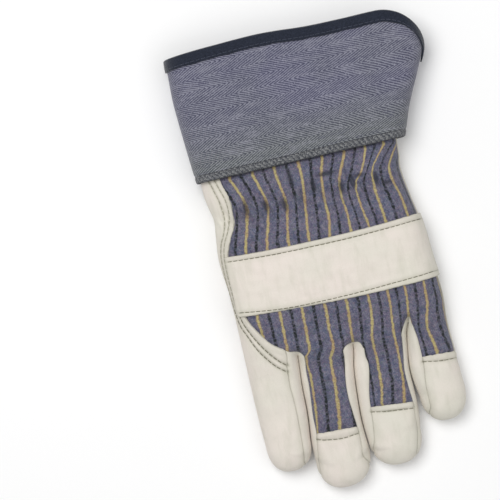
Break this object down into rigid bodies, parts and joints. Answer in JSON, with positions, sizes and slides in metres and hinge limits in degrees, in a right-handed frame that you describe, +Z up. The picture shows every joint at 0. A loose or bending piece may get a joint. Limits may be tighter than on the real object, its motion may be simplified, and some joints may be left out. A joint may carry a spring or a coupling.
{
  "type": "leather palm work glove",
  "caption": "Left-hand leather palm work glove lying palm down: striped cloth back, leather knuckle strap and fingertips, herringbone safety cuff with bound rim.",
  "frame": {"origin": "on the ground under the middle of the glove's bounding box, the glove lying palm down", "axes": "+X from the thumb side to the little finger, +Y from the fingertips to the cuff, +Z up through the back of the hand"},
  "size_m": [0.1504, 0.2658, 0.0304],
  "materials": {
    "leather": "matt ivory grain leather",
    "striped_cloth": "blue grey canvas with fine yellow and black stripes",
    "cuff_cloth": "blue grey herringbone twill",
    "binding": "dark navy tape",
    "welt": "pale grey welt leather"
  },
  "bodies": {
    "root": {"back_panel": "striped_cloth", "palm_leather": "leather", "finger_front_middle": "leather", "finger_front_ring": "leather", "tip_middle": "leather", "tip_ring": "leather", "tip_little": "leather", "fourchette_index_middle": "leather", "fourchette_middle_ring": "leather", "fourchette_ring_little": "leather", "finger_welt": "welt", "thumb_back": "leather", "thumb_front": "leather", "knuckle_strap": "leather", "cuff": "cuff_cloth", "cuff_binding": "binding", "pulse_patch": "leather"}
  },
  "joints": []
}
